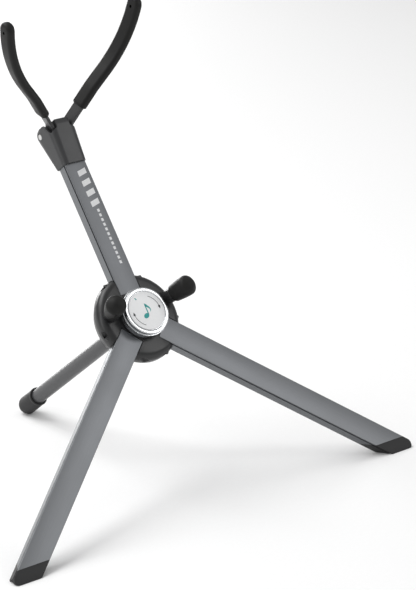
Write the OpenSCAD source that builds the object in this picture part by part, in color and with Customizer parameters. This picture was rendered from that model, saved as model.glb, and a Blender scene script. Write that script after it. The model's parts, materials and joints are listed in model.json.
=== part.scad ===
// Folding tripod stand for a saxophone: clamp hub, two front legs, a rear tube and a fork arm.
// The hub axis leans back. Hub frame: x across, y up the arm, z forward out of the knob.

/* [Stance] */
// Height of the hub centre above the floor
hub_height = 150; // [130:1:180]
// Lean of the arm and the leg plane back from vertical, degrees
stand_lean = 37.5; // [34:0.5:42]
// Angle of each front leg from straight down, in the leg plane, degrees
leg_spread = 48; // [44:1:54]

/* [Profiles] */
// Width of the flat arm and leg profile
profile_w = 22; // [20:0.5:24]
// Thickness of the flat profile
profile_t = 11.5; // [10:0.5:12]
// Wall of the hollow profile
profile_wall = 1.5; // [1.2:0.1:1.8]
// Outer corner radius of the profile
profile_corner = 1.2; // [0.8:0.1:1.4]

/* [Hub] */
// Largest radius of the hub
hub_r = 40.3; // [39:0.1:43]
// Depth of the hub housing from its front face
hub_depth = 20; // [19:0.5:24]
// Radius of the round front edge
hub_edge_r = 7; // [5:0.5:8]
// Distance of the three hinge pins from the hub axis
hinge_r = 34; // [33:0.5:35]
// Radius of the round inner end of each limb, about its hinge pin
limb_end_r = 13.3; // [12.8:0.1:13.5]
// Thickness of the back cover
cover_t = 2; // [1.5:0.5:3]

/* [Knob] */
// Radius of the knurled knob
knob_r = 22.5; // [20:0.5:22.5]
// Height of the knob
knob_h = 11; // [9:0.5:13]
// Number of knurl teeth
knurl_count = 60; // [36:2:72]
// Radius of the label disc
label_r = 17.8; // [15:0.1:18.5]
// Radius of the threaded spindle
spindle_r = 4; // [3.5:0.5:5]

/* [Rest pegs] */
// Sideways distance of a peg's foot from the middle
peg_x = 29.6; // [28:0.2:31]
// Height of a peg's foot above the hub axis
peg_y = 8; // [6:0.5:10]
// Outward tilt of the pegs, degrees
peg_tilt = 18; // [14:1:26]
// Radius of a peg stem
peg_r = 6.4; // [5:0.1:6.6]
// Length of a peg stem above the hub face
peg_l = 33; // [28:1:38]
// Radius of a rubber peg cap
peg_cap_r = 9.2; // [8:0.1:10]
// Length of a rubber peg cap
peg_cap_l = 23; // [18:1:24]

/* [Rear foot] */
// Radius of the rear tube
rear_r = 7; // [6:0.5:8]
// Wall of the rear tube
rear_wall = 1.2; // [1:0.1:2]
// Radius of the rear rubber foot
rear_cap_r = 9; // [8.5:0.5:11]
// Length of the rear rubber foot, round end included
rear_cap_l = 32; // [24:1:40]

/* [Front feet] */
// Height of a front foot cap above the floor
foot_h = 10; // [8:0.5:14]
// Length from the hub axis to the blunt toe of a leg
leg_l = 287; // [284:1:290]
// Corner radius of the toe
toe_r = 6; // [4:0.5:8]

/* [Fork] */
// Distance up the arm from the hub axis to the fork pin
fork_pin_y = 184.5; // [182:0.5:188]
// Depth of the fork pin behind the arm's front face
fork_pin_depth = 14.5; // [14:0.5:15]
// Forward angle of the fork from the arm, in use, degrees
fork_angle = 52; // [48:1:56]
// Width of a prong strip
prong_w = 12; // [10:0.5:12]
// Thickness of a prong strip
prong_t = 3; // [2.5:0.1:3]
// Sideways distance of a prong root from the middle
prong_x = 9; // [8.8:0.1:9.2]
// Outward angle of the prongs where they leave the block, degrees
root_flare = 34; // [28:1:35]
// Outward angle of the prongs further up, degrees
prong_flare = 39; // [36:1:42]
// Outward angle left at the prong tips, degrees
tip_flare = 6; // [4:1:12]
// Width of a rubber sleeve
sleeve_w = 15.5; // [14:0.5:17]
// Thickness of a rubber sleeve
sleeve_t = 8; // [6.5:0.5:9]

/* [Fork block] */
// Width of the block at the top
block_top_w = 28; // [28:0.5:30]
// Width of the block at the bottom
block_bottom_w = 24.5; // [24.5:0.5:26]
// Height of the block's lower edge up the arm
block_bottom_y = 149.5; // [147:0.5:152]
// Radius of the block's round top corner about the fork pin
block_round_r = 6.5; // [6:0.5:7]

/* [Hidden] */
$fn = 48;
knurl_depth = 0.7;
rim_step = 0.15;
rim_r = knob_r - knurl_depth - rim_step;  // plain rings above and below the knurl
pin_r = 2.5;
press = 0.02;                   // gap of a pressed-in part
running = 0.05;                 // radial gap of a running fit
side_gap = 0.4;                 // gap between a limb and its channel
leg_turn = 180 - leg_spread;    // turn of the left leg about the hub axis
mid = -profile_t / 2;           // middle plane of the limbs
rear_l = (hub_height - rear_cap_r) / sin(stand_lean);
hub_y = -(rear_l * cos(stand_lean) + rear_cap_r - hub_height * tan(stand_lean)) / 2;
channel_w = profile_w + 2 * side_gap;
boss_r = hinge_r - profile_t / 2 - 0.35;
arm_top = fork_pin_y - 18.5;
knob_base = 1;
fork_pin_z = -fork_pin_depth;
strip_z = 7.5;                  // middle of a strip in the fork frame, ahead of the pin
root_back = 5;
root_end = 11;
bend_r = 8;
root_flare_l = 35;
kink_r = 40;
flare_l = 16.5;
sweep_r = 116;
tip_l = 3;
sleeve_start = 16;
sleeve_extra = 3;
slot_gap = 0.5;
slot_side = 0.3;
lean_room = 3;
fold_step = fork_angle / 8;
block_top = fork_pin_y + block_round_r;
cover_screw_r = 26;
space = 800;                    // side of a block larger than the stand
beyond = 80;                    // reach of a cutter past any one part
overlap = 0.01;
inner_w = profile_w - 2 * profile_wall;
inner_t = profile_t - 2 * profile_wall;
inner_corner = 0.6;
limb_from = 18;                 // start of a limb before its end is rounded
insert_to = 60;
insert_back = 0.4;              // how far an insert's round end stays inside its profile's
pin_play = 0.3;
hinge_pin_l = 39;
dimple_r = 1.2;
dimple_d = 0.8;
hub_wall_l = 4;                 // straight wall behind the round edge
hub_taper = 4;
cover_draft = 2;
peg_root = 7.9;                 // depth of a peg stem in the hub
spindle_play = 0.1;
pocket_r = 9;
pocket_d = 7.2;
screw_r = 1.25;
screw_hole_r = 1.3;
screw_clear_r = 1.7;
screw_l = 8;
screw_head_r = 3;
screw_head_t = 1;
screw_sink_r = 3.2;
screw_hex_r = 1.4;
screw_hex_d = 0.7;
spring_z = -14;
spindle_top = 8.5;
spindle_head_r = 7;
spindle_head_t = 5;
spring_in = 4.2;
spring_out = 8.4;
spring_t = 0.75;
spring_cone = 0.3;
washer_r = 12;
knob_chamfer = 1.2;
knob_draft = 1.8;
ring_h = 2;
knob_bore_top = 9.2;
label_sink = 1;
label_gap = 0.2;
label_t = 0.6;
cap_over = 3;                   // rubber beyond the end of a peg stem
dome_h = 5;
dome_r = 14;
flange_r = 17;
flange_t = 3;
neck_l = 22;
neck_low_r = 9.6;
neck_high_r = 11.5;
socket_screw_z = 12;
socket_screw_r = 1.45;
socket_screw_l = 4.5;
socket_hex_r = 0.8;
socket_hole_y = 8;
socket_hole_l = 12;
plug_l = 40;
block_screw_y = block_bottom_y + 8;
block_screw_l = 8;
block_shank_r = 1.58;
plug_hole_r = 1.6;
block_hole_r = 2.2;
block_head_r = 3.4;
block_head_t = 1.6;
block_hex_r = 1.5;
block_hex_d = 1.4;
seat_r = 3.6;
seat_z = -14.4;                 // the block screw's head bears here
seat_from = -20;
seat_to = -10;
low_front = 3;
low_back = -13.6;
low_corner = 5;
top_front = 7;
top_corner = 7;
top_taper = 0.6;
shoulder_front = 7.2;
shoulder_drop = 5;
back_corner = 2;
sweep_spare = 1.5;
sweep_to = 32;
fork_pin_short = 0.4;
cap_plug_l = 14;
cap_plug_from = 180;
toe_bar_from = 100;

// Frames

module in_hub()
    translate([0, hub_y, hub_height]) rotate([90 - stand_lean, 0, 0]) children();

module on_limb(turn)
    in_hub() rotate([0, 0, turn]) children();

module in_fork()
    in_hub() translate([0, fork_pin_y, fork_pin_z]) rotate([fork_angle, 0, 0]) children();

module mirrored(left)
    mirror([left ? 1 : 0, 0, 0]) children();

module above(z)
    translate([-space / 2, -space / 2, z]) cube(space);

module x_cylinder(r, l)
    rotate([0, 90, 0]) cylinder(r = r, h = l, center = true);

module rounded_square(w, h, r) {
    square([w - 2 * r, h], center = true);
    square([w, h - 2 * r], center = true);
    for (x = [-1, 1], y = [-1, 1])
        translate([x * (w / 2 - r), y * (h / 2 - r)]) circle(r);
}

// Limbs: each lies along y, its front face at z = 0

module limb_bar(w, t, r, from, to)
    translate([0, from, mid]) rotate([-90, 0, 0])
        linear_extrude(to - from) rounded_square(w, t, r);

module limb_end_waste(r)
    translate([0, hinge_r, mid]) difference() {
        translate([-profile_w, -hinge_r, -profile_w]) cube([2 * profile_w, hinge_r, 2 * profile_w]);
        x_cylinder(r, 3 * profile_w);
    }

module limb_tube(to) difference() {
    limb_bar(profile_w, profile_t, profile_corner, limb_from, to);
    limb_bar(inner_w, inner_t, inner_corner, limb_from - 1, to + 1);
    limb_end_waste(limb_end_r);
    translate([0, hinge_r, mid]) x_cylinder(pin_r + pin_play, profile_w + 2);
}

module limb_fill(from, to)
    limb_bar(inner_w - press, inner_t - press, inner_corner, from, to);

module limb_insert() difference() {
    limb_fill(limb_from, insert_to);
    limb_end_waste(limb_end_r - insert_back);
    translate([0, hinge_r, mid]) x_cylinder(pin_r + running, profile_w + 2);
}

module hinge_pin()
    translate([0, hinge_r, mid]) difference() {
        x_cylinder(pin_r, hinge_pin_l);
        for (x = [-1, 1]) translate([x * hinge_pin_l / 2, 0, 0]) rotate([0, 90, 0])
            cylinder(r = dimple_r, h = 2 * dimple_d, center = true);
    }

// Hub

function edge_arc(n) = [for (i = [0:n]) let (a = 90 - 90 * i / n)
    [hub_r - hub_edge_r + hub_edge_r * cos(a), hub_edge_r * (sin(a) - 1)]];

module hub_outline()
    polygon(concat([[0, 0]], edge_arc(8), 
        [[hub_r, -hub_edge_r - hub_wall_l], [hub_r - hub_taper, -hub_depth], [0, -hub_depth]]));

module channel(r)
    for (turn = [0, leg_turn, -leg_turn]) rotate([0, 0, turn]) {
        translate([-channel_w / 2, boss_r, -beyond / 2]) cube([channel_w, beyond, beyond]);
        translate([0, hinge_r, mid]) x_cylinder(r, channel_w);
    }

module peg_axis()
    translate([peg_x, peg_y, 0]) rotate([0, peg_tilt, 0]) children();

module cover_screw_places()
    for (turn = [-66, 66, 180]) rotate([0, 0, turn]) translate([0, cover_screw_r, -hub_depth]) children();

module hub_housing() color("dimgray") in_hub() difference() {
    rotate_extrude() hub_outline();
    channel(limb_end_r + 0.3);
    for (turn = [0, leg_turn, -leg_turn]) rotate([0, 0, turn])
        translate([0, hinge_r, mid]) x_cylinder(pin_r + press, beyond);
    for (left = [false, true]) mirrored(left) peg_axis()
        translate([0, 0, -peg_root - 2 * running]) cylinder(r = peg_r + press, h = beyond);
    translate([0, 0, -hub_depth - 1]) cylinder(r = spindle_r + spindle_play, h = hub_depth + 2);
    translate([0, 0, -hub_depth - 1]) cylinder(r = pocket_r, h = pocket_d + 1);
    cover_screw_places() cylinder(r = screw_hole_r, h = screw_l);
}

module hub_back_cover() color("black") in_hub() difference() {
    translate([0, 0, -hub_depth - cover_t]) 
        cylinder(r1 = hub_r - hub_taper - cover_draft, r2 = hub_r - hub_taper, h = cover_t);
    channel(limb_end_r + 0.3);
    cover_screw_places() translate([0, 0, -cover_t - 1]) cylinder(r = screw_clear_r, h = cover_t + 2);
    cover_screw_places() translate([0, 0, -cover_t - 1]) cylinder(r = screw_sink_r, h = screw_head_t + 1);
}

module hub_screws() color("silver") in_hub() cover_screw_places() {
    translate([0, 0, -cover_t]) difference() {
        cylinder(r = screw_head_r, h = screw_head_t);
        translate([0, 0, -1]) cylinder(r = screw_hex_r, h = screw_hex_d + 1, $fn = 6);
    }
    translate([0, 0, -cover_t + screw_head_t]) cylinder(r = screw_r, h = screw_l);
}

module spindle() color("silver") in_hub() {
    translate([0, 0, spring_z]) cylinder(r = spindle_r, h = spindle_top - spring_z);
    translate([0, 0, spring_z - spindle_head_t]) cylinder(r = spindle_head_r, h = spindle_head_t, $fn = 6);
}

module disc_spring() color("silver") in_hub() translate([0, 0, spring_z + running])
    rotate_extrude() polygon([[spring_in, 0], [spring_out, spring_cone],
                              [spring_out, spring_cone + spring_t], [spring_in, spring_t]]);

module thrust_washer() color("white") in_hub() difference() {
    cylinder(r = washer_r, h = knob_base - running);
    translate([0, 0, -1]) cylinder(r = spindle_r + 2 * spindle_play, h = knob_base + 2);
}

// Knob

function knurl(i) = let (a = 180 * i / knurl_count, r = knob_r - (i % 2) * knurl_depth)
    [r * cos(a), r * sin(a)];

module knob() color("gainsboro") in_hub() difference() {
    translate([0, 0, knob_base]) union() {
        cylinder(r1 = knob_r - knob_draft, r2 = rim_r, h = knob_chamfer);
        translate([0, 0, knob_chamfer]) linear_extrude(knob_h - 2 * knob_chamfer - ring_h)
            polygon([for (i = [0:2 * knurl_count - 1]) knurl(i)]);
        translate([0, 0, knob_h - knob_chamfer - ring_h]) cylinder(r = rim_r, h = ring_h);
        translate([0, 0, knob_h - knob_chamfer])
            cylinder(r1 = rim_r, r2 = rim_r - knob_chamfer, h = knob_chamfer);
    }
    translate([0, 0, knob_base + knob_h - label_sink]) cylinder(r = label_r + label_gap, h = label_sink + 2);
    translate([0, 0, -1]) cylinder(r = spindle_r + running, h = knob_bore_top + 1);
}

module knob_label() color("white") in_hub()
    translate([0, 0, knob_base + knob_h - label_sink]) cylinder(r = label_r, h = label_t);

// Rest pegs

module peg_stem(left) color("black") in_hub() mirrored(left) peg_axis()
    translate([0, 0, -peg_root]) cylinder(r = peg_r, h = peg_l + peg_root);

module peg_cap(left) color("dimgray") in_hub() mirrored(left) peg_axis()
    translate([0, 0, peg_l + cap_over - peg_cap_l]) difference() {
        union() {
            cylinder(r = peg_cap_r, h = peg_cap_l - dome_h);
            translate([0, 0, peg_cap_l - dome_h]) intersection() {
                translate([0, 0, dome_h - dome_r]) sphere(r = dome_r);
                cylinder(r = peg_cap_r, h = 2 * dome_h);
            }
        }
        translate([0, 0, -1]) cylinder(r = peg_r + press, h = peg_cap_l - cap_over + 1);
    }

// Rear leg

module rear_socket() color("dimgray") in_hub() translate([0, 0, -hub_depth - cover_t]) difference() {
    union() {
        translate([0, 0, -flange_t]) cylinder(r = flange_r, h = flange_t);
        translate([0, 0, -neck_l]) cylinder(r1 = neck_low_r, r2 = neck_high_r, h = neck_l - flange_t);
    }
    translate([0, 0, -beyond]) cylinder(r = rear_r + press, h = beyond - flange_t);
    translate([0, -socket_hole_y, -socket_screw_z]) rotate([90, 0, 0])
        cylinder(r = socket_screw_r + running, h = socket_hole_l, center = true);
}

module socket_screw() color("silver") in_hub()
    translate([0, -rear_r - 2 * running, -hub_depth - cover_t - socket_screw_z]) rotate([90, 0, 0])
        difference() {
            cylinder(r = socket_screw_r, h = socket_screw_l);
            translate([0, 0, socket_screw_l - 1]) cylinder(r = socket_hex_r, h = 2, $fn = 6);
        }

module rear_tube() color("darkslategray") in_hub() difference() {
    translate([0, 0, -rear_l])
        cylinder(r = rear_r, h = rear_l - hub_depth - cover_t - flange_t - 2 * running);
    translate([0, 0, -rear_l - 1]) cylinder(r = rear_r - rear_wall, h = rear_l);
}

module rear_foot_cap() color("black") in_hub() translate([0, 0, -rear_l]) difference() {
    union() {
        sphere(r = rear_cap_r);
        cylinder(r = rear_cap_r, h = rear_cap_l - rear_cap_r);
    }
    cylinder(r = rear_r + press, h = rear_cap_l);
}

// Arm

module arm_profile() color("dimgray") on_limb(0) difference() {
    limb_tube(arm_top);
    translate([0, block_screw_y, -profile_t - 1]) cylinder(r = block_hole_r, h = profile_wall + 2);
}

module arm_hinge_insert() color("black") on_limb(0) limb_insert();

module arm_top_plug() color("black") on_limb(0) difference() {
    limb_fill(arm_top - plug_l, arm_top);
    translate([0, block_screw_y, -profile_t - 1]) cylinder(r = plug_hole_r, h = block_screw_l);
}

// Fork block: walls round the arm below, two slots for the prong roots above

module block_slab(w, front, back, r, y)
    translate([0, y, 0]) rotate([-90, 0, 0]) linear_extrude(1) hull()
        for (x = [-1, 1]) {
            translate([x * (w / 2 - r), r - front]) circle(r, $fn = 32);
            translate([x * (w / 2 - back_corner), -back - back_corner]) circle(back_corner, $fn = 24);
        }

module block_body() hull() {
    block_slab(block_bottom_w, low_front, low_back, low_corner, block_bottom_y);
    block_slab(block_top_w - top_taper, top_front, fork_pin_z + 2, top_corner, block_top - 1);
    block_slab(block_top_w, shoulder_front, fork_pin_z - 4.5, top_corner, block_top - shoulder_drop);
    translate([0, fork_pin_y, fork_pin_z]) x_cylinder(block_round_r, block_top_w - 3);
}

module prong_root_shape() {
    circle(root_back);
    translate([-root_back, 0]) square([2 * root_back, strip_z]);
    translate([-root_back, strip_z - prong_w / 2]) square([root_back + root_end, prong_w]);
}

// The drawing plane of a prong root is turned so that its x runs up the prong.
module root_plate(x, t)
    translate([x - t / 2, 0, 0]) rotate([90, 0, 90]) linear_extrude(t) children();

// The room that a prong root sweeps as the fork folds, in steps of fold_step. The slot is wider
// above root_end, where the prong leans out.
module prong_slot() translate([0, fork_pin_y, fork_pin_z]) {
    root_plate(prong_x, prong_t + 2 * slot_side) {
        circle(root_back + slot_gap);
        prong_sweep(-root_back - slot_gap);
    }
    root_plate(prong_x + lean_room / 2, prong_t + 2 * slot_side + lean_room) prong_sweep(root_end);
}

module prong_sweep(from)
    for (fold = [0:fold_step:fork_angle]) rotate(fork_angle - fold)
        translate([from, strip_z - prong_w / 2 - sweep_spare]) 
            square([sweep_to - from, prong_w + sweep_spare + slot_gap]);

module fork_block() color("dimgray") on_limb(0) difference() {
    block_body();
    limb_bar(profile_w + 0.1, profile_t + 0.1, profile_corner, block_bottom_y - 1, arm_top + 0.2);
    for (left = [false, true]) mirrored(left) prong_slot();
    translate([0, fork_pin_y, fork_pin_z]) x_cylinder(pin_r + running, beyond);
    translate([0, block_screw_y, seat_from]) cylinder(r = block_hole_r, h = seat_to - seat_from);
    translate([0, block_screw_y, seat_from]) cylinder(r = seat_r, h = seat_z - seat_from);
}

module block_screw() color("silver") on_limb(0) translate([0, block_screw_y, seat_z - running]) {
    difference() {
        translate([0, 0, -block_head_t]) cylinder(r = block_head_r, h = block_head_t);
        translate([0, 0, -2]) cylinder(r = block_hex_r, h = block_hex_d, $fn = 6);
    }
    cylinder(r = block_shank_r, h = block_screw_l);
}

// Front legs

module leg_profile(turn) color("dimgray") intersection() {
    on_limb(turn) limb_tube(leg_l);
    above(foot_h);
}

module toe_bar(w, t, r)
    translate([0, (leg_l + toe_bar_from) / 2, -t / 2]) linear_extrude(t, center = true)
        rounded_square(w, leg_l - toe_bar_from, r);

module foot_cap(turn) color("black") {
    intersection() {
        on_limb(turn) toe_bar(profile_w, profile_t, toe_r);
        above(0);
        translate([0, 0, foot_h - space]) above(0);
    }
    intersection() {
        on_limb(turn) limb_fill(cap_plug_from, leg_l);
        above(foot_h - overlap);
        translate([0, 0, foot_h + cap_plug_l - space]) above(0);
    }
}

// Prongs: the middle line is a list of [x, y, outward angle]. It runs up the root, leans out in
// two steps, curves back and ends straight.

function turn_to(p, r, a, n) = let (s = sign(a - p[2])) [for (i = [1:n]) let (h = p[2] + (a - p[2]) * i / n)
    [p[0] + s * r * (cos(p[2]) - cos(h)), p[1] + s * r * (sin(h) - sin(p[2])), h]];
function ahead(p, l) = p + l * [sin(p[2]), cos(p[2]), 0];
function last(list) = list[len(list) - 1];
root_bend = turn_to([prong_x, root_end, 0], bend_r, root_flare, 3);
kink = turn_to(ahead(last(root_bend), root_flare_l), kink_r, prong_flare, 4);
sweep = turn_to(ahead(last(kink), flare_l), sweep_r, tip_flare, 14);
function tip_end(extra) = ahead(last(sweep), tip_l + extra);
function side(line, d) = [for (p = line) [p[0] + d * cos(p[2]), p[1] - d * sin(p[2])]];
function backwards(list) = [for (i = [len(list) - 1:-1:0]) list[i]];
strip_line = concat([[prong_x, root_end - 1, 0], [prong_x, root_end, 0]], root_bend,
                    [ahead(last(root_bend), root_flare_l)], kink, [ahead(last(kink), flare_l)], sweep);

module band(line, t)
    polygon(concat(side(line, t / 2), backwards(side(line, -t / 2))));

module round_tip(w, extra)
    root_plate(tip_end(extra)[0] / 2, 2 * tip_end(extra)[0] + beyond) union() {
        translate([-beyond, strip_z - w / 2]) square([tip_end(extra)[1] + beyond - w / 2, w]);
        translate([tip_end(extra)[1] - w / 2, strip_z]) circle(w / 2);
    }

module prong(left) color("black") in_fork() mirrored(left) difference() {
    intersection() {
        union() {
            root_plate(prong_x, prong_t) prong_root_shape();
            translate([0, 0, strip_z]) linear_extrude(prong_w, center = true)
                band(concat(strip_line, [tip_end(0)]), prong_t);
        }
        union() {
            round_tip(prong_w, 0);
            x_cylinder(root_back, beyond);
            translate([-beyond / 2, -root_back, 0]) cube([beyond, 2 * root_back, strip_z]);
        }
    }
    x_cylinder(pin_r + press, beyond);
}

module prong_sleeve(left) color("darkslategray") in_fork() mirrored(left) difference() {
    intersection() {
        translate([0, 0, strip_z]) linear_extrude(sleeve_w, center = true)
            band(concat([ahead(last(root_bend), sleeve_start), ahead(last(root_bend), root_flare_l)], kink,
                        [ahead(last(kink), flare_l)], sweep, [tip_end(sleeve_extra)]), sleeve_t);
        round_tip(sleeve_w, sleeve_extra);
    }
    translate([0, 0, strip_z]) linear_extrude(prong_w + 2 * press, center = true)
        band(concat(strip_line, [tip_end(0.05)]), prong_t + 2 * press);
}

module fork_pin() color("silver") in_fork() x_cylinder(pin_r, block_top_w - fork_pin_short);

hub_housing();
hub_back_cover();
hub_screws();
spindle();
disc_spring();
thrust_washer();
peg_stem(true);  // left_peg_stem
peg_stem(false);  // right_peg_stem
peg_cap(true);  // left_peg_cap
peg_cap(false);  // right_peg_cap
color("silver") on_limb(0) hinge_pin();  // arm_hinge_pin
color("silver") on_limb(leg_turn) hinge_pin();  // left_hinge_pin
color("silver") on_limb(-leg_turn) hinge_pin();  // right_hinge_pin
rear_socket();
socket_screw();
rear_tube();
rear_foot_cap();
knob();
knob_label();
arm_profile();
arm_hinge_insert();
arm_top_plug();
fork_block();
block_screw();
leg_profile(leg_turn);  // left_leg_profile
color("black") on_limb(leg_turn) limb_insert();  // left_hinge_insert
foot_cap(leg_turn);  // left_foot_cap
leg_profile(-leg_turn);  // right_leg_profile
color("black") on_limb(-leg_turn) limb_insert();  // right_hinge_insert
foot_cap(-leg_turn);  // right_foot_cap
fork_pin();
prong(true);  // left_prong
prong(false);  // right_prong
prong_sleeve(true);  // left_prong_sleeve
prong_sleeve(false);  // right_prong_sleeve
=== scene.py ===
"""Folding saxophone stand: camera, light, floor, finer meshes and the material of every piece."""
import json
import math

import bmesh
import bpy
from mathutils import Matrix, Vector


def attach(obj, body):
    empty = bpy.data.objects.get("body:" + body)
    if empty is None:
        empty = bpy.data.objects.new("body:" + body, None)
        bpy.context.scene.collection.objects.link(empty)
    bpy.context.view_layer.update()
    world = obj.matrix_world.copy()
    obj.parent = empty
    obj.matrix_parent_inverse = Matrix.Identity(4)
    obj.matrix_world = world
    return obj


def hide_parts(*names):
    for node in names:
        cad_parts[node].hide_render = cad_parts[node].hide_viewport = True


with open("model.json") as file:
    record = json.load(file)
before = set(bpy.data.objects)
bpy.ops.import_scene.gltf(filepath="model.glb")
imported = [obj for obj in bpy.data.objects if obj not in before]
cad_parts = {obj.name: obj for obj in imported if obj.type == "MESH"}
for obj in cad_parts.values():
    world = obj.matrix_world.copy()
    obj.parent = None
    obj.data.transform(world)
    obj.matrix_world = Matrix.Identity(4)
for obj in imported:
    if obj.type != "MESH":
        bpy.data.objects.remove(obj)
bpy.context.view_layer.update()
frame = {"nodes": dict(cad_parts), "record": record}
nodes = frame["nodes"]
joints = {joint["name"]: joint for joint in frame["record"]["behaviour"]["joints"]}

# ---------------------------------------------------------------- sizes in millimetres

MM = 0.001
LEG_SPREAD = 48
LEG_TURN = 180 - LEG_SPREAD
PROFILE_W = 22
PROFILE_T = 11.5
PROFILE_WALL = 1.5
FRONT_CORNER = 0.5
BACK_CORNER = 1.2
GROOVE_TOP = 0.6  # depth of the groove's near edge behind the front face
GROOVE_W = 1.9
GROOVE_D = 0.6
HINGE_R = 34
LIMB_END_R = 13.3
LEG_L = 287
FOOT_H = 10
TOE_R = 6
ARM_TOP = 166
PEG_X = 29.6
PEG_Y = 8
PEG_TILT = 18
PEG_R = 6.4
PEG_L = 33
PEG_CAP_R = 9.2
PEG_CAP_L = 23
PEG_CAP_OVER = 3
PEG_ROOT = 7.9
PEG_LEAD = 0.3
REAR_R = 7
REAR_WALL = 1.2
REAR_CAP_R = 9
REAR_CAP_L = 32
HUB_BACK = 22
KNOB_R = 22.5
KNOB_BASE = 1
KNOB_TOP = 12
LABEL_R = 17.8
LABEL_TOP = 11.6
LABEL_SINK = 1
KNURL_TEETH = 96
KNURL_STEPS = 4
KNURL_DEPTH = 0.55
SPINDLE_R = 4
PRONG_X = 9
ROOT_END = 11
STRIP_Z = 7.5
SLEEVE_W = 15.5
SLEEVE_T = 8
SLEEVE_CORNER = 3.4
TIP_HOLE_R = 1.5
TIP_HOLE_IN = 9
FORK_ANGLE = 52
ROOT_BEND_R = 8
ROOT_FLARE = 34
ROOT_FLARE_L = 35
SLEEVE_START = 16
KINK_R = 40
PRONG_FLARE = 39
FLARE_L = 16.5
SWEEP_R = 116
TIP_FLARE = 6
TIP_L = 3
SLEEVE_EXTRA = 3

# ---------------------------------------------------------------- frames

KNOB = joints["knob_turn"]
KNOB_MIDDLE = 6
HUB_N = Vector(KNOB["axis"]).normalized()
HUB_X = Vector((1, 0, 0))
HUB_U = HUB_N.cross(HUB_X).normalized()
HUB_C = Vector(KNOB["pos_m"]) - HUB_N * KNOB_MIDDLE * MM
HUB = Matrix((HUB_X, HUB_U, HUB_N)).transposed().to_4x4()
HUB.translation = HUB_C


def turned(degrees, axis):
    return Matrix.Rotation(math.radians(degrees), 4, axis)


def shifted(x, y, z):
    return Matrix.Translation(Vector((x, y, z)) * MM)


FORK = HUB @ turned(FORK_ANGLE, "X")
FORK.translation = Vector(joints["fork_tilt"]["pos_m"])
LIMBS = {"arm": HUB, "left_leg": HUB @ turned(LEG_TURN, "Z"), "right_leg": HUB @ turned(-LEG_TURN, "Z")}
PEGS = {side: HUB @ shifted(sign * PEG_X, PEG_Y, 0) @ turned(sign * PEG_TILT, "Y")
        for side, sign in (("left", -1), ("right", 1))}
MIRROR = Matrix.Scale(-1, 4, (1, 0, 0))

# ---------------------------------------------------------------- materials


def new_material(name, **values):
    """A material whose shader has these constants, such as Metallic=1.0."""
    made = bpy.data.materials.new(name)
    made.use_nodes = True
    shader = made.node_tree.nodes["Principled BSDF"]
    for socket, value in values.items():
        shader.inputs[socket.replace("_", " ")].default_value = value
    return made, made.node_tree, shader


def coordinates(tree, place=None, stretch=(1, 1, 1)):
    """Object coordinates in metres, turned into the frame named place and then stretched."""
    vector = tree.nodes.new("ShaderNodeTexCoord").outputs["Object"]
    if place is not None:
        turn = tree.nodes.new("ShaderNodeMapping")
        turn.inputs["Rotation"].default_value = place.to_3x3().inverted().to_euler()
        tree.links.new(vector, turn.inputs["Vector"])
        vector = turn.outputs["Vector"]
    scale = tree.nodes.new("ShaderNodeMapping")
    scale.inputs["Scale"].default_value = stretch
    tree.links.new(vector, scale.inputs["Vector"])
    return scale.outputs["Vector"]


def noise(tree, vector, scale, detail=4.0, roughness=0.55):
    made = tree.nodes.new("ShaderNodeTexNoise")
    made.inputs["Scale"].default_value = scale
    made.inputs["Detail"].default_value = detail
    made.inputs["Roughness"].default_value = roughness
    tree.links.new(vector, made.inputs["Vector"])
    return made.outputs["Fac"]


def spread(tree, value, low, high, to_low, to_high):
    """Maps value from low..high to to_low..to_high, clamped."""
    made = tree.nodes.new("ShaderNodeMapRange")
    for socket, number in zip(("From Min", "From Max", "To Min", "To Max"), (low, high, to_low, to_high)):
        made.inputs[socket].default_value = number
    tree.links.new(value, made.inputs["Value"])
    return made.outputs["Result"]


def added(tree, first, second, operation="ADD"):
    made = tree.nodes.new("ShaderNodeMath")
    made.operation = operation
    tree.links.new(first, made.inputs[0])
    tree.links.new(second, made.inputs[1])
    return made.outputs[0]


def blended(tree, factor, first, second):
    """A colour between two colours, or between a colour socket and a colour."""
    made = tree.nodes.new("ShaderNodeMix")
    made.data_type = "RGBA"
    tree.links.new(factor, made.inputs["Factor"])
    for socket, colour in ((made.inputs[6], first), (made.inputs[7], second)):
        if isinstance(colour, bpy.types.NodeSocket):
            tree.links.new(colour, socket)
        else:
            socket.default_value = (*colour, 1)
    return made.outputs[2]


def worn_edges(tree, low=0.52, high=0.6):
    """0 on flat and hollow places, 1 on sharp outer edges."""
    geometry = tree.nodes.new("ShaderNodeNewGeometry")
    return spread(tree, geometry.outputs["Pointiness"], low, high, 0, 1)


def bump(tree, shader, height, strength, distance):
    made = tree.nodes.new("ShaderNodeBump")
    made.inputs["Strength"].default_value = strength
    made.inputs["Distance"].default_value = distance
    tree.links.new(height, made.inputs["Height"])
    tree.links.new(made.outputs["Normal"], shader.inputs["Normal"])


def anodised(name, place):
    """Satin graphite aluminium, with its extrusion grain along the limb's length."""
    made, tree, shader = new_material(name, Metallic=1.0)
    grain = noise(tree, coordinates(tree, place, (2600, 40, 2600)), 1.0, 3.0)
    cloud = noise(tree, coordinates(tree), 26.0, 3.0)
    etch = noise(tree, coordinates(tree), 5200.0, 2.0)
    mixed = added(tree, spread(tree, grain, 0.3, 0.7, 0, 0.6), spread(tree, cloud, 0.35, 0.65, 0, 0.4))
    colour = blended(tree, mixed, (0.125, 0.130, 0.138), (0.172, 0.177, 0.186))
    tree.links.new(blended(tree, worn_edges(tree, 0.54, 0.66), colour, (0.27, 0.28, 0.29)),
                   shader.inputs["Base Color"])
    tree.links.new(spread(tree, mixed, 0, 1, 0.36, 0.47), shader.inputs["Roughness"])
    bump(tree, shader, added(tree, grain, etch), 0.16, 0.00003)
    return made


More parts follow.
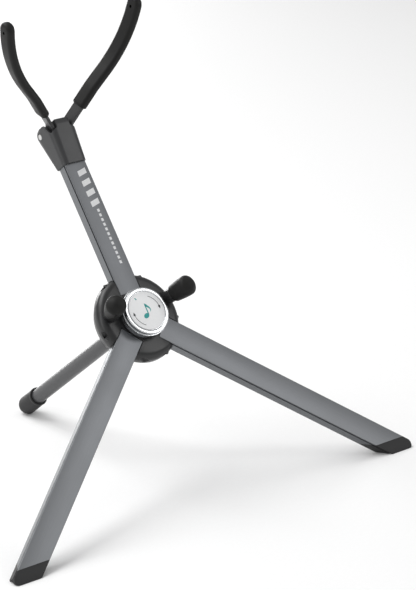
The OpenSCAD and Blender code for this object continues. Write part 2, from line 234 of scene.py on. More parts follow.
def plastic(name, dark, light, roughness, grain=3200.0, depth=0.00004):
    """Moulded plastic with a fine spark-eroded grain, softly polished on its edges."""
    made, tree, shader = new_material(name, Specular_IOR_Level=0.5)
    cloud = noise(tree, coordinates(tree), 38.0, 4.0)
    pores = noise(tree, coordinates(tree), grain, 2.0, 0.6)
    dust = spread(tree, noise(tree, coordinates(tree), 900.0, 5.0, 0.7), 0.66, 0.76, 0, 0.5)
    colour = blended(tree, cloud, dark, light)
    colour = blended(tree, dust, colour, tuple(min(1, 1.6 * part + 0.01) for part in light))
    tree.links.new(colour, shader.inputs["Base Color"])
    rough = added(tree, spread(tree, cloud, 0.3, 0.7, roughness - 0.05, roughness + 0.05),
                  spread(tree, worn_edges(tree), 0, 1, 0, 0.12), "SUBTRACT")
    tree.links.new(rough, shader.inputs["Roughness"])
    bump(tree, shader, pores, 0.22, depth)
    return made


def rubber(name, dark, light, roughness):
    """Soft dull rubber: fine pitted skin, pale dust in it and rubbed patches."""
    made, tree, shader = new_material(name, Specular_IOR_Level=0.24)
    rubbed = noise(tree, coordinates(tree), 55.0, 5.0, 0.6)
    pits = noise(tree, coordinates(tree), 2400.0, 3.0, 0.65)
    dust = spread(tree, noise(tree, coordinates(tree), 1500.0, 4.0, 0.75), 0.62, 0.74, 0, 0.6)
    colour = blended(tree, rubbed, dark, light)
    colour = blended(tree, dust, colour, tuple(2.0 * part for part in light))
    tree.links.new(colour, shader.inputs["Base Color"])
    tree.links.new(spread(tree, rubbed, 0.3, 0.7, roughness - 0.08, roughness + 0.08),
                   shader.inputs["Roughness"])
    bump(tree, shader, pits, 0.3, 0.00006)
    return made


def coated_steel(name, dark, light, roughness):
    """Powder coat on steel: a slight orange peel under the light."""
    made, tree, shader = new_material(name, Metallic=0.0, Coat_Weight=0.25, Coat_Roughness=0.3)
    peel = noise(tree, coordinates(tree), 700.0, 2.0)
    speck = noise(tree, coordinates(tree), 3600.0, 3.0, 0.7)
    colour = blended(tree, spread(tree, speck, 0.4, 0.7, 0, 1), dark, light)
    tree.links.new(colour, shader.inputs["Base Color"])
    tree.links.new(spread(tree, peel, 0.3, 0.7, roughness - 0.05, roughness + 0.06),
                   shader.inputs["Roughness"])
    bump(tree, shader, added(tree, peel, speck), 0.18, 0.00005)
    return made


def chrome(name):
    """Bright plate with hairline wipe marks and a little haze."""
    made, tree, shader = new_material(name, Metallic=1.0)
    haze = noise(tree, coordinates(tree), 70.0, 4.0)
    hairline = noise(tree, coordinates(tree, HUB, (260, 4200, 900)), 1.0, 4.0, 0.7)
    colour = blended(tree, haze, (0.62, 0.635, 0.65), (0.74, 0.75, 0.76))
    tree.links.new(colour, shader.inputs["Base Color"])
    tree.links.new(added(tree, spread(tree, hairline, 0.35, 0.75, 0.10, 0.20), spread(
        tree, haze, 0.35, 0.65, 0, 0.06)), shader.inputs["Roughness"])
    bump(tree, shader, hairline, 0.05, 0.00002)
    return made


def zinc(name):
    """Zinc plate: a cloudy bluish and yellowish bloom over turned steel."""
    made, tree, shader = new_material(name, Metallic=1.0)
    bloom = noise(tree, coordinates(tree), 240.0, 4.0, 0.6)
    turned_marks = noise(tree, coordinates(tree, HUB, (5200, 5200, 500)), 1.0, 2.0)
    tree.links.new(blended(tree, bloom, (0.56, 0.59, 0.66), (0.72, 0.69, 0.60)), shader.inputs["Base Color"])
    tree.links.new(spread(tree, bloom, 0.3, 0.7, 0.24, 0.42), shader.inputs["Roughness"])
    bump(tree, shader, turned_marks, 0.12, 0.00002)
    return made


def printed(name, dark, light, roughness, coat=0.0):
    """Screen-printed ink or label stock: slight mottle, and a fine dot texture."""
    made, tree, shader = new_material(name, Coat_Weight=coat, Coat_Roughness=0.15)
    mottle = noise(tree, coordinates(tree), 420.0, 4.0, 0.6)
    dots = noise(tree, coordinates(tree), 6000.0, 1.0)
    tree.links.new(blended(tree, mottle, dark, light), shader.inputs["Base Color"])
    tree.links.new(spread(tree, mottle, 0.3, 0.7, roughness - 0.05, roughness + 0.06),
                   shader.inputs["Roughness"])
    bump(tree, shader, dots, 0.08, 0.00002)
    return made


BLACK_PLASTIC = plastic("black_plastic", (0.010, 0.0103, 0.011), (0.018, 0.0182, 0.019), 0.36)
BLOCK_PLASTIC = plastic("block_plastic", (0.026, 0.0265, 0.028), (0.040, 0.041, 0.043), 0.38)
INNER_PLASTIC = plastic("inner_plastic", (0.012, 0.012, 0.013), (0.020, 0.020, 0.021), 0.55)
NYLON = plastic("nylon", (0.66, 0.65, 0.60), (0.74, 0.73, 0.69), 0.45)
# Near-black painted shade for the faces inside the limb and foot-cap grooves: colour standing in for the
# shadow in the groove.
GROOVE_PAINTED_SHADE = plastic("groove_painted_shade", (0.002, 0.002, 0.002), (0.004, 0.004, 0.004), 0.8)
SOFT_RUBBER = rubber("soft_rubber", (0.006, 0.006, 0.0062), (0.012, 0.0118, 0.011), 0.52)
FOOT_RUBBER = rubber("foot_rubber", (0.022, 0.022, 0.022), (0.036, 0.036, 0.037), 0.50)
BLACK_STEEL = coated_steel("black_steel", (0.008, 0.008, 0.009), (0.020, 0.020, 0.021), 0.42)
TUBE_COAT = coated_steel("tube_coat", (0.036, 0.037, 0.039), (0.056, 0.057, 0.060), 0.38)
CHROME = chrome("bright_plate")
ZINC = zinc("zinc_plate")
LABEL_WHITE = printed("label_white", (0.80, 0.81, 0.82), (0.88, 0.885, 0.89), 0.34, 0.4)
TEAL_INK = printed("teal_ink", (0.010, 0.30, 0.29), (0.020, 0.37, 0.35), 0.45)
BLACK_INK = printed("black_ink", (0.020, 0.022, 0.025), (0.05, 0.052, 0.056), 0.5)
WHITE_INK = printed("white_ink", (0.74, 0.745, 0.75), (0.84, 0.845, 0.85), 0.5)
ANODISED = {body: anodised(body + "_anodised", place) for body, place in LIMBS.items()}

# ---------------------------------------------------------------- mesh helpers


def finish_piece(name, body, material, mesh, replaces=(), sharp=32):
    """Puts a mesh in the scene, smooth but for edges over sharp degrees, on its body."""
    materials = material if isinstance(material, (list, tuple)) else [material]
    mesh.materials.clear()
    for each in materials:
        mesh.materials.append(each)
    mesh.polygons.foreach_set("use_smooth", [True] * len(mesh.polygons))
    mesh.set_sharp_from_angle(angle=math.radians(sharp))
    piece = bpy.data.objects.new(name, mesh)
    bpy.context.scene.collection.objects.link(piece)
    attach(piece, body)
    if replaces:
        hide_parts(*replaces)
    return piece


def mesh_of(name, patches, place, weld=0.002):
    """A mesh from patches of rows of points in millimetres; each patch is (rows, closed, material)."""
    build = bmesh.new()
    for rows, closed, slot in patches:
        points = [[build.verts.new(place @ (Vector(point) * MM)) for point in row] for row in rows]
        for first, second in zip(points, points[1:]):
            count = len(first)
            for i in range(count if closed else count - 1):
                j = (i + 1) % count
                face = build.faces.new((first[i], first[j], second[j], second[i]))
                face.material_index = slot[i] if isinstance(slot, (list, tuple)) else slot
    bmesh.ops.remove_doubles(build, verts=build.verts, dist=weld * MM)
    bmesh.ops.holes_fill(build, edges=[edge for edge in build.edges if edge.is_boundary])
    bmesh.ops.recalc_face_normals(build, faces=build.faces)
    mesh = bpy.data.meshes.new(name)
    build.to_mesh(mesh)
    build.free()
    return mesh


def lathe(profile, steps, swell=None):
    """Rows of points round the z axis, one for each (radius, height). swell(i, radius, height) is
    the radius of the point number i."""
    rows = []
    for radius, height in profile:
        row = []
        for i in range(steps):
            angle = 2 * math.pi * i / steps
            out = swell(i, radius, height) if swell else radius
            row.append((out * math.cos(angle), out * math.sin(angle), height))
        rows.append(row)
    return [(rows, True, 0)]


def arc(centre, radius, start, end, steps):
    """Points (x, y) on an arc, angles in degrees."""
    angles = [math.radians(start + (end - start) * i / steps) for i in range(steps + 1)]
    return [(centre[0] + radius * math.cos(a), centre[1] + radius * math.sin(a)) for a in angles]


def fine_copy(name, body, material, node, bevel, segments=3, angle=28, sharp=34):
    """The CAD node's own shape with its edges rounded by bevel millimetres."""
    build = bmesh.new()
    build.from_mesh(nodes[node].data)
    bmesh.ops.remove_doubles(build, verts=build.verts, dist=0.002 * MM)
    bmesh.ops.dissolve_limit(build, angle_limit=math.radians(0.6), verts=build.verts, edges=build.edges)
    edges = [edge for edge in build.edges
             if edge.is_manifold and edge.calc_face_angle(0) > math.radians(angle)]
    bmesh.ops.bevel(build, geom=edges, offset=bevel * MM, segments=segments, profile=0.5, affect="EDGES",
                    clamp_overlap=True, harden_normals=False)
    bmesh.ops.triangulate(build, faces=[face for face in build.faces if len(face.verts) > 4])
    bmesh.ops.recalc_face_normals(build, faces=build.faces)
    mesh = bpy.data.meshes.new(name)
    build.to_mesh(mesh)
    build.free()
    return finish_piece(name, body, material, mesh, [node], sharp)


def soft_copy(name, body, material, node, cell, passes):
    """The CAD node's shape on an even grid of cells, relaxed so that its moulded edges are round."""
    mesh = nodes[node].data.copy()
    piece = finish_piece(name, body, material, mesh, [node])
    weld = piece.modifiers.new("weld", "WELD")
    weld.merge_threshold = 0.002 * MM
    grid = piece.modifiers.new("grid", "REMESH")
    grid.mode = "VOXEL"
    grid.voxel_size = cell * MM
    relax = piece.modifiers.new("relax", "SMOOTH")
    relax.factor = 0.5
    relax.iterations = passes
    evaluated = piece.evaluated_get(bpy.context.evaluated_depsgraph_get())
    made = bpy.data.meshes.new_from_object(evaluated)
    piece.modifiers.clear()
    piece.data = made
    made.polygons.foreach_set("use_smooth", [True] * len(made.polygons))
    return piece


# ---------------------------------------------------------------- limbs and front feet


def world_height_line(place):
    """World height of a limb point (x, y, z) in millimetres: base + x * by[0] + y * by[1] + z * by[2]."""
    turn = place.to_3x3()
    return place.translation.z / MM, (turn[2][0], turn[2][1], turn[2][2])


def section(columns=1):
    """Half-open outline (x, z) of the limb, clockwise from the front left, with its grooves.
    Front and back faces are split into columns. Returns points, and the material of each step."""
    half, back = PROFILE_W / 2, -PROFILE_T
    side = arc((half - FRONT_CORNER, -FRONT_CORNER), FRONT_CORNER, 90, 0, 4)
    side += [(half, -GROOVE_TOP), (half - GROOVE_D, -GROOVE_TOP - 0.1),
             (half - GROOVE_D, -GROOVE_TOP - GROOVE_W + 0.1), (half, -GROOVE_TOP - GROOVE_W)]
    side += arc((half - BACK_CORNER, back + BACK_CORNER), BACK_CORNER, 0, -90, 6)
    # Steps inside the groove take slot 1, the near-black painted shade for the groove's shadow.
    in_groove = {5, 6, 7}
    front = [(-side[0][0] + 2 * side[0][0] * i / columns, 0) for i in range(1, columns)]
    rear = [(side[-1][0] - 2 * side[-1][0] * i / columns, back) for i in range(1, columns)]
    left = [(-x, z) for x, z in reversed(side)]
    points = side + rear + left + front
    marks = [1 if i in in_groove else 0 for i in range(len(side))] + [0] * len(rear)
    marks += [1 if len(side) - 2 - i in in_groove else 0 for i in range(len(side))] + [0] * len(front)
    return points, marks


def shrunk(points, by):
    """The outline moved in by about this much all round."""
    middle = -PROFILE_T / 2
    return [(x * (1 - 2 * by / PROFILE_W), middle + (z - middle) * (1 - 2 * by / PROFILE_T))
            for x, z in points]


def row_at(points, height):
    return [(x, height(x, z), z) for x, z in points]


def inner_end(x, z):
    """The round inner end of a limb, about its hinge pin."""
    return HINGE_R - math.sqrt(max(0, LIMB_END_R ** 2 - (z + PROFILE_T / 2) ** 2))


def plane_cut(place, height):
    """The limb's y where it meets a level plane, as a function of x and z."""
    base, by = world_height_line(place)
    return lambda x, z: (height - base - x * by[0] - z * by[2]) / by[1]


def add_profile(body, outer_end):
    """One hollow extruded limb with a real groove down each side, whose faces are coloured near black as
    painted shade for the groove's shadow.
    """
    edge = 0.25
    outline, marks = section()
    rows = [row_at(shrunk(outline, PROFILE_WALL), inner_end), row_at(shrunk(outline, edge), inner_end),
            row_at(outline, lambda x, z: inner_end(x, z) + edge),
            row_at(outline, lambda x, z: outer_end(x, z) - edge), row_at(shrunk(outline, edge), outer_end),
            row_at(shrunk(outline, PROFILE_WALL), outer_end)]
    rows.append(rows[0])
    patches = [([first, second], True, marks if i == 2 else 0)
               for i, (first, second) in enumerate(zip(rows, rows[1:]))]
    name = body + "_profile"
    mesh = mesh_of(name + "_tube", patches, LIMBS[body])
    # Slot 1 is the near-black painted shade on the groove faces.
    materials = [ANODISED[body], GROOVE_PAINTED_SHADE]
    return finish_piece(name + "_tube", body, materials, mesh, [name])


def soft_minimum(first, second, width):
    mix = max(width - abs(first - second), 0) / width
    return min(first, second) - mix * mix * width / 4


def add_foot_cap(body):
    """Rubber cap that closes a leg: it starts level, stands flat on the floor and has a blunt round toe."""
    columns, rounding, seam = 26, 1.0, 0.3
    place = LIMBS[body]
    floor = plane_cut(place, 0)
    start = plane_cut(place, FOOT_H)

    def toe(x):
        over = max(0, abs(x) - PROFILE_W / 2 + TOE_R)
        return LEG_L - TOE_R + math.sqrt(max(0, TOE_R ** 2 - over ** 2))

    def end(x, z):
        return soft_minimum(floor(x, z), toe(x), 2.0)

    outline, marks = section(columns)
    levels = [(seam * (1 - math.sin(a)), lambda x, z, d=seam * (1 - math.cos(a)): start(x, z) + d)
              for a in (math.radians(90 * i / 2) for i in range(3))]
    levels += [(rounding * (1 - math.cos(a)),
                lambda x, z, d=rounding * (1 - math.sin(a)): end(x, z) - d)
               for a in (math.radians(90 * i / 5) for i in range(6))]
    rows = [row_at(shrunk(outline, inset), height) for inset, height in levels]
    patches = [([first, second], True, marks) for first, second in zip(rows, rows[1:])]
    side_steps = (len(outline) - 2 * (columns - 1)) // 2
    for inset, height in (levels[0], levels[-1]):
        points = shrunk(outline, inset)
        grid = []
        for i in range(side_steps):
            half, z = points[i]
            places = [half * (2 * j / columns - 1) for j in range(columns + 1)]
            grid.append([(x, height(x, z), z) for x in places])
        patches.append((grid, False, 0))
    name = body.replace("_leg", "_foot_cap")
    mesh = mesh_of(name + "_boot", patches, place)
    # The groove runs on round the cap, and its faces get the near-black painted shade in slot 1.
    return finish_piece(name + "_boot", body, [FOOT_RUBBER, GROOVE_PAINTED_SHADE], mesh, [name])


def add_limbs():
    add_profile("arm", lambda x, z: ARM_TOP)
    for body in ("left_leg", "right_leg"):
        add_profile(body, plane_cut(LIMBS[body], FOOT_H))
        add_foot_cap(body)


# ---------------------------------------------------------------- pegs, rear foot


def add_pegs():
    steps = 72
    top = PEG_L + PEG_CAP_OVER
    base = top - PEG_CAP_L
    cap = [(PEG_R + 0.05, base + 1.5), (PEG_R + 0.1, base + 0.4)]
    cap += arc((7.4, base + 0.5), 0.5, 250, 340, 4)
    cap += [(8.05, base + 1.6), (8.2, base + 3), (8.55, base + 6), (8.95, base + 10), (9.15, base + 13.5)]
    cap += arc((PEG_CAP_R - 4.2, base + 16.3), 4.2, 0, 62, 9)
    crown = cap[-1]
    cap += [(crown[0] * (1 - t), crown[1] + (top - crown[1]) * (1 - (1 - t) ** 2))
            for t in (0.15, 0.3, 0.45, 0.6, 0.75, 0.88, 0.97)]
    stem = [(3, -PEG_ROOT), (PEG_R - PEG_LEAD, -PEG_ROOT), (PEG_R, PEG_LEAD - PEG_ROOT),
            (PEG_R, 0.2), (PEG_R - 0.12, 0.5), (PEG_R, 0.8),
            (PEG_R, base + 6), (3, base + 6.2)]
    for side, place in PEGS.items():
        name = side + "_peg_stem"
        finish_piece(name + "_rod", "hub", BLACK_STEEL,
                     mesh_of(name, lathe(stem, steps), place), [name])
        name = side + "_peg_cap"
        finish_piece(name + "_tip", "hub", SOFT_RUBBER,
                     mesh_of(name, lathe(cap, steps), place), [name])


def add_rear_foot():
    steps = 72
    end = -HUB_C.z / MM / HUB_N.z + REAR_CAP_R / HUB_N.z
    start = -HUB_BACK - 3.2
    tube = [(REAR_R - REAR_WALL, start), (REAR_R - 0.2, start), (REAR_R, start - 0.2),
            (REAR_R, end + 0.3), (REAR_R - 0.3, end), (REAR_R - REAR_WALL, end)]
    tube.append(tube[0])
    finish_piece("rear_tube_pipe", "hub", TUBE_COAT,
                 mesh_of("rear_tube_pipe", lathe(tube, steps), HUB), ["rear_tube"])
    lip = end + REAR_CAP_L - REAR_CAP_R
    cap = [(REAR_R + 0.05, lip - 2), (REAR_R + 0.05, lip - 0.3)] + arc((8.1, lip - 0.9), 0.9, 100, 0, 6)
    cap += [(8.85, lip - 2.2), (8.55, lip - 3.0), (8.6, lip - 3.8), (8.75, lip - 6)]
    cap += [(REAR_CAP_R * math.cos(math.radians(a)), end - REAR_CAP_R * math.sin(math.radians(a)))
            for a in (0, 8, 16, 24, 32, 40, 48, 56, 64, 72, 80, 86, 89)]
    finish_piece("rear_foot_boot", "hub", FOOT_RUBBER,
                 mesh_of("rear_foot_boot", lathe(cap, steps), HUB), ["rear_foot_cap"])


# ---------------------------------------------------------------- knob and label


def add_knob():
    low, high = KNOB_BASE + 1.3, KNOB_TOP - 3.5

    def swell(i, radius, height):
        if not low < height < high:
            return radius
        phase = i % KNURL_STEPS
        return radius - KNURL_DEPTH * (0, 0.25, 1, 0.25)[phase]

    rim = KNOB_R - 0.9
    profile = [(SPINDLE_R + 0.1, KNOB_BASE), (rim - 1.6, KNOB_BASE), (rim - 0.3, KNOB_BASE + 0.5),
               (rim, KNOB_BASE + 1.0), (rim, low), (KNOB_R - 0.2, low + 0.25), (KNOB_R, low + 0.5)]
    profile += [(KNOB_R, low + 0.5 + (high - low - 1.0) * i / 4) for i in range(1, 5)]
    profile += [(KNOB_R - 0.2, high - 0.25), (rim - 0.7, high), (rim - 0.7, high + 0.35), (rim, high + 0.5)]
    profile += arc((rim - 0.8, KNOB_TOP - 0.8), 0.8, 0, 75, 5)
    seat = KNOB_TOP - LABEL_SINK
    profile += [(rim - 1.6, KNOB_TOP - 0.02)] + arc((LABEL_R + 1.25, KNOB_TOP - 0.55), 0.5, 90, 175, 4)
    profile += [(LABEL_R + 0.35, seat + 0.15), (LABEL_R + 0.2, seat), (SPINDLE_R, seat - 0.01)]
    mesh = mesh_of("knob", lathe(profile, KNURL_TEETH * KNURL_STEPS, swell), HUB)
    finish_piece("knob_wheel", "knob", CHROME, mesh, ["knob"], 24)
    disc = [(1, seat + 0.02), (LABEL_R - 0.1, seat + 0.02), (LABEL_R, seat + 0.12)]
    disc += arc((LABEL_R - 0.25, LABEL_TOP - 0.25), 0.25, 0, 90, 4) + [(LABEL_R * 0.6, LABEL_TOP),
                                                                     (1, LABEL_TOP)]
    mesh = mesh_of("knob_label", lathe(disc, 128), HUB)
    finish_piece("knob_label_disc", "knob", LABEL_WHITE, mesh, ["knob_label"])


def plate(name, body, material, outline, place, top, thickness=0.07):
    """A thin printed shape: a closed outline (x, y) in millimetres, raised to top."""
    build = bmesh.new()
    low = [build.verts.new(place @ (Vector((x, y, top)) * MM)) for x, y in outline]
    high = [build.verts.new(place @ (Vector((x, y, top + thickness)) * MM)) for x, y in outline]
    build.faces.new(high)
    build.faces.new(reversed(low))
    for i in range(len(outline)):
        j = (i + 1) % len(outline)
        build.faces.new((low[i], low[j], high[j], high[i]))
    bmesh.ops.triangulate(build, faces=[face for face in build.faces if len(face.verts) > 4])
    bmesh.ops.recalc_face_normals(build, faces=build.faces)
    mesh = bpy.data.meshes.new(name)
    build.to_mesh(mesh)
    build.free()
    return finish_piece(name, body, material, mesh)


def ribbon(line, widths):
    """Outline round a line of points (x, y) with a width at each."""
    left, right = [], []
    for i, (x, y) in enumerate(line):
        before, after = line[max(i - 1, 0)], line[min(i + 1, len(line) - 1)]
        along = Vector((after[0] - before[0], after[1] - before[1])).normalized()
        half = widths[i] / 2
        left.append((x - along.y * half, y + along.x * half))
        right.append((x + along.y * half, y - along.x * half))
    return left + right[::-1]


def add_label_marks():
    """A quaver in teal, two curved turning arrows and a tick."""
    tilt = math.radians(24)
    head = [(-2.3 + 3.0 * math.cos(a) * math.cos(tilt) - 2.1 * math.sin(a) * math.sin(tilt),
             -4.4 + 3.0 * math.cos(a) * math.sin(tilt) + 2.1 * math.sin(a) * math.cos(tilt))
            for a in (2 * math.pi * i / 32 for i in range(32))]
    plate("mark_note_head", "knob", TEAL_INK, head, HUB, LABEL_TOP)
    stem = [(-0.3, -3.6), (0.75, -3.6), (0.75, 6.6), (-0.3, 6.6)]
    plate("mark_note_stem", "knob", TEAL_INK, stem, HUB, LABEL_TOP)
    flag = [(0.7, 5.6), (1.5, 3.9), (2.8, 2.8), (3.7, 1.5), (3.9, -0.1), (3.3, -1.7)]
    plate("mark_note_flag", "knob", TEAL_INK, ribbon(flag, [2.0, 1.9, 1.6, 1.2, 0.8, 0.3]),
          HUB, LABEL_TOP)
    for i, (start, end) in enumerate(((62, -6), (242, 174))):
        line = arc((0, 0), 13.9, start, end, 24)
        widths = [0.45] * 19 + [0.45, 2.4, 1.9, 1.35, 0.8, 0.1]
        plate(f"mark_arrow_{i + 1}", "knob", BLACK_INK, ribbon(line, widths), HUB, LABEL_TOP)
    tick = [(13.0 * math.cos(a), 13.0 * math.sin(a)) for a in (math.radians(115), math.radians(119))]
    tick += [(15.2 * math.cos(a), 15.2 * math.sin(a)) for a in (math.radians(119), math.radians(115))]
    plate("mark_tick", "knob", TEAL_INK, tick, HUB, LABEL_TOP)


def add_arm_marks():
    """Plain white print on the arm: four bold slanted bars and a dashed rule below them."""
    centre, lean = 3.0, 2.2
    for i in range(4):
        low = 106 + 10 * i
        outline = [(centre - 4.5, low), (centre + 4.5, low + lean), (centre + 4.5, low + lean + 5.2),
                   (centre - 4.5, low + 5.2)]
        plate(f"arm_bar_{i + 1}", "arm", WHITE_INK, outline, HUB, 0, 0.04)
    for i in range(12):
        low = 50 + 4.6 * i
        outline = [(centre - 1.2, low), (centre + 1.2, low), (centre + 1.2, low + 2.8),
                   (centre - 1.2, low + 2.8)]
        plate(f"arm_dash_{i + 1}", "arm", WHITE_INK, outline, HUB, 0, 0.04)


# ---------------------------------------------------------------- fork sleeves


def bend(path, radius, heading, steps):
    """Turns the path to a new heading in degrees, on an arc of this radius."""
    x, y, start = path[-1]
    sign = 1 if heading > start else -1
    for i in range(1, steps + 1):
        now = start + (heading - start) * i / steps
        a, b = math.radians(start), math.radians(now)
        path.append((x + sign * radius * (math.cos(a) - math.cos(b)),
                     y + sign * radius * (math.sin(b) - math.sin(a)), now))


def ahead(path, length, steps=1):
    x, y, heading = path[-1]
    a = math.radians(heading)
    for i in range(1, steps + 1):
        path.append((x + length * i / steps * math.sin(a), y + length * i / steps * math.cos(a), heading))


def prong_path():
    """The middle line (x, y, heading) of the right prong's sleeve in the fork frame."""
    path = [(PRONG_X, ROOT_END, 0)]
    bend(path, ROOT_BEND_R, ROOT_FLARE, 4)
    ahead(path, SLEEVE_START)
    first = len(path) - 1
    ahead(path, ROOT_FLARE_L - SLEEVE_START, 6)
    bend(path, KINK_R, PRONG_FLARE, 6)
    ahead(path, FLARE_L, 6)
    bend(path, SWEEP_R, TIP_FLARE, 28)
    ahead(path, TIP_L + SLEEVE_EXTRA, 2)
    return path[first:]


def along(path, distance):
    """Point and heading at a distance along the path."""
    for first, second in zip(path, path[1:]):
        step = math.hypot(second[0] - first[0], second[1] - first[1])
        if distance <= step or second == path[-1]:
            share = distance / step
            return [a + (b - a) * share for a, b in zip(first, second)]
        distance -= step


def sleeve_ring(path, distance, half_w, half_t):
    """One ring of the sleeve: a rectangle with round corners, across the path."""
    x, y, heading = along(path, distance)
    a = math.radians(heading)
    corner = min(SLEEVE_CORNER, half_w * 0.96, half_t * 0.96)
    ring = []
    for sw, st, start in ((1, 1, 0), (1, -1, 270), (-1, -1, 180), (-1, 1, 90)):
        for w, t in arc((sw * (half_w - corner), st * (half_t - corner)), corner, start + 90, start, 6):
            ring.append((x + t * math.cos(a), y - t * math.sin(a), STRIP_Z + w))
    return ring


def add_sleeves():
    path = prong_path()
    total = sum(math.hypot(b[0] - a[0], b[1] - a[1]) for a, b in zip(path, path[1:]))
    half_w, half_t, lip, edge = SLEEVE_W / 2, SLEEVE_T / 2, 2.0, 3.2
    stations = []
    for i in range(6):
        a = math.radians(90 * i / 5)
        drop = lip * (1 - math.sin(a))
        stations.append((lip * (1 - math.cos(a)), half_w - drop, half_t - drop))
    count = 64
    stations += [(lip + (total - half_w - lip) * i / count, half_w, half_t) for i in range(1, count)]
    for i in range(20):
        left = half_w * (1 - math.sin(math.radians(90 * i / 20)))
        wide = math.sqrt(max(0.02, half_w ** 2 - (half_w - left) ** 2))
        thin = half_t - edge + math.sqrt(edge ** 2 - max(0, edge - left) ** 2)
        stations.append((total - left, wide, thin))
    stations.append((total - 0.01, 0.6, half_t - edge + 0.5))
    rows = [sleeve_ring(path, *station) for station in stations]
    for side, place in (("left", FORK @ MIRROR), ("right", FORK)):
        name = side + "_prong_sleeve"
        mesh = mesh_of(name, [(rows, True, 0)], place)
        piece = finish_piece(name + "_grip", "fork", SOFT_RUBBER, mesh, [name])
        x, y, heading = along(path, total - TIP_HOLE_IN)
        hole = [(-half_t - 2, TIP_HOLE_R), (half_t + 2, TIP_HOLE_R)]
        cutter_mesh = mesh_of("hole", lathe([(radius, height) for height, radius in hole], 24),
                              place @ shifted(x, y, STRIP_Z) @ turned(-heading, "Z") @ turned(90, "Y"))
        drill(piece, cutter_mesh)


def drill(piece, cutter_mesh):
    """Cuts a closed mesh out of a piece, for good."""
    cutter = bpy.data.objects.new("cutter", cutter_mesh)
    bpy.context.scene.collection.objects.link(cutter)
    cut = piece.modifiers.new("cut", "BOOLEAN")
    cut.object = cutter
    cut.operation = "DIFFERENCE"
    cut.solver = "EXACT"
    evaluated = piece.evaluated_get(bpy.context.evaluated_depsgraph_get())
    mesh = bpy.data.meshes.new_from_object(evaluated)
    piece.modifiers.clear()
    piece.data = mesh
    mesh.set_sharp_from_angle(angle=math.radians(32))
    bpy.data.objects.remove(cutter)


# ---------------------------------------------------------------- moulded pieces and small hardware


def add_moulded():
    fine_copy("hub_shell", "hub", BLACK_PLASTIC, "hub_housing", 0.45)
    fine_copy("hub_cover", "hub", BLACK_PLASTIC, "hub_back_cover", 0.3)
    fine_copy("rear_collar", "hub", BLACK_PLASTIC, "rear_socket", 0.5)
    soft_copy("fork_yoke", "arm", BLOCK_PLASTIC, "fork_block", 0.4, 5)
    for side in ("left", "right"):
        fine_copy(side + "_prong_strip", "fork", BLACK_STEEL, side + "_prong", 0.35)


def dress_hardware():
    """Materials for the CAD nodes that show as they are."""
    finishes = {"zinc_steel": ZINC, "black_steel": BLACK_STEEL, "nylon": NYLON,
                "inner_plastic": INNER_PLASTIC}
    slots = {sub["node"]: sub["material_slot"] for sub in frame["record"]["subparts"]}
    for name, node in nodes.items():
        if node.hide_render:
            continue
        node.data.materials.clear()
        node.data.materials.append(finishes[slots[name]])
        node.data.polygons.foreach_set("use_smooth", [True] * len(node.data.polygons))


# ---------------------------------------------------------------- camera

AZIMUTH = math.radians(-37.9)
ELEVATION = math.radians(20.0)
ROLL = math.radians(-1.3)
FOCAL_PX = 2631
IMAGE_W, IMAGE_H = 416, 590
SENSOR_MM = 36
CAMERA_DISTANCE = 2.301
HUB_IN_VIEW = (-0.1615, -0.0489)  # hub centre from the middle of the view, in widths of the view


def add_camera():
    back = Vector((math.sin(AZIMUTH) * math.cos(ELEVATION), -math.cos(AZIMUTH) * math.cos(ELEVATION),
                   math.sin(ELEVATION)))
    side = Vector((math.cos(AZIMUTH), math.sin(AZIMUTH), 0))
    rise = back.cross(side)
    right = math.cos(ROLL) * side + math.sin(ROLL) * rise
    up = -math.sin(ROLL) * side + math.cos(ROLL) * rise
    offset_x = HUB_IN_VIEW[0] * IMAGE_W / FOCAL_PX * CAMERA_DISTANCE
    offset_y = HUB_IN_VIEW[1] * IMAGE_W / FOCAL_PX * CAMERA_DISTANCE
    place = Matrix((right, up, back)).transposed().to_4x4()
    place.translation = HUB_C + back * CAMERA_DISTANCE - right * offset_x - up * offset_y
    data = bpy.data.cameras.new("camera")
    data.sensor_width = SENSOR_MM
    data.lens = FOCAL_PX * SENSOR_MM / IMAGE_H
    data.clip_end = 50
    camera = bpy.data.objects.new("camera", data)
    camera.matrix_world = place
    bpy.context.scene.collection.objects.link(camera)
    bpy.context.scene.camera = camera


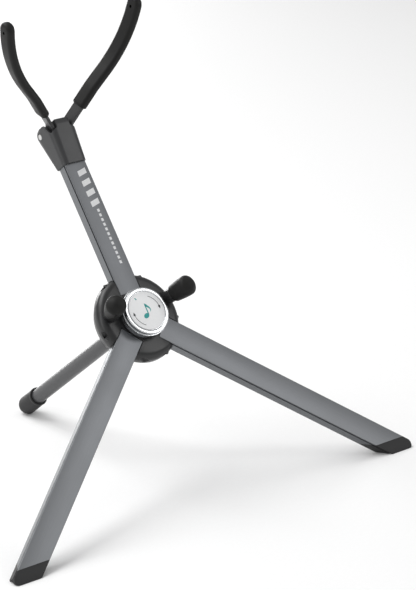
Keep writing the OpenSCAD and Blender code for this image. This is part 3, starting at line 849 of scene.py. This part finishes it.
# ---------------------------------------------------------------- light and floor


def add_area(name, place, target, size, power):
    data = bpy.data.lights.new(name, "AREA")
    data.shape = "RECTANGLE"
    data.size, data.size_y = size
    data.energy = power
    light = bpy.data.objects.new(name, data)
    light.location = place
    light.rotation_mode = "QUATERNION"
    light.rotation_quaternion = (Vector(target) - Vector(place)).to_track_quat("-Z", "Y")
    light.visible_camera = False
    bpy.context.scene.collection.objects.link(light)
    return light


FLOOR_HALF = 6
WORLD_STRENGTH = 0.5
PANELS = {  # place, target, size in metres, and power in watts
    "left_panel": ((-1.4, 0.1, 0.9), (0, 0, 0.15), (0.5, 1.2), 5),
    "top_panel": ((-0.5, 1.0, 1.9), (0, 0, 0), (1.6, 1.2), 30),
    "back_panel": ((0.55, 2.3, 0.35), (0, 0, 0.1), (1.0, 0.7), 16),
    "front_panel": ((0.9, -1.1, 1.1), (0, 0, 0.2), (0.5, 0.9), 4),
}


def add_stage():
    mesh = bpy.data.meshes.new("floor")
    build = bmesh.new()
    bmesh.ops.create_grid(build, x_segments=2, y_segments=2, size=FLOOR_HALF)
    build.to_mesh(mesh)
    build.free()
    floor = bpy.data.objects.new("floor", mesh)
    bpy.context.scene.collection.objects.link(floor)
    paper, tree, shader = new_material("floor_paper", Roughness=0.9)
    fibre = noise(tree, coordinates(tree), 300.0, 4.0)
    tree.links.new(blended(tree, fibre, (0.90, 0.90, 0.90), (0.94, 0.94, 0.94)), shader.inputs["Base Color"])
    mesh.materials.append(paper)
    world = bpy.data.worlds.new("studio")
    world.use_nodes = True
    world.node_tree.nodes["Background"].inputs["Color"].default_value = (1, 1, 1, 1)
    world.node_tree.nodes["Background"].inputs["Strength"].default_value = WORLD_STRENGTH
    bpy.context.scene.world = world
    bpy.context.scene.view_settings.view_transform = "Standard"
    for name, settings in PANELS.items():
        add_area(name, *settings)


add_camera()
add_limbs()
add_pegs()
add_rear_foot()
add_knob()
add_label_marks()
add_arm_marks()
add_sleeves()
add_moulded()
dress_hardware()
add_stage()
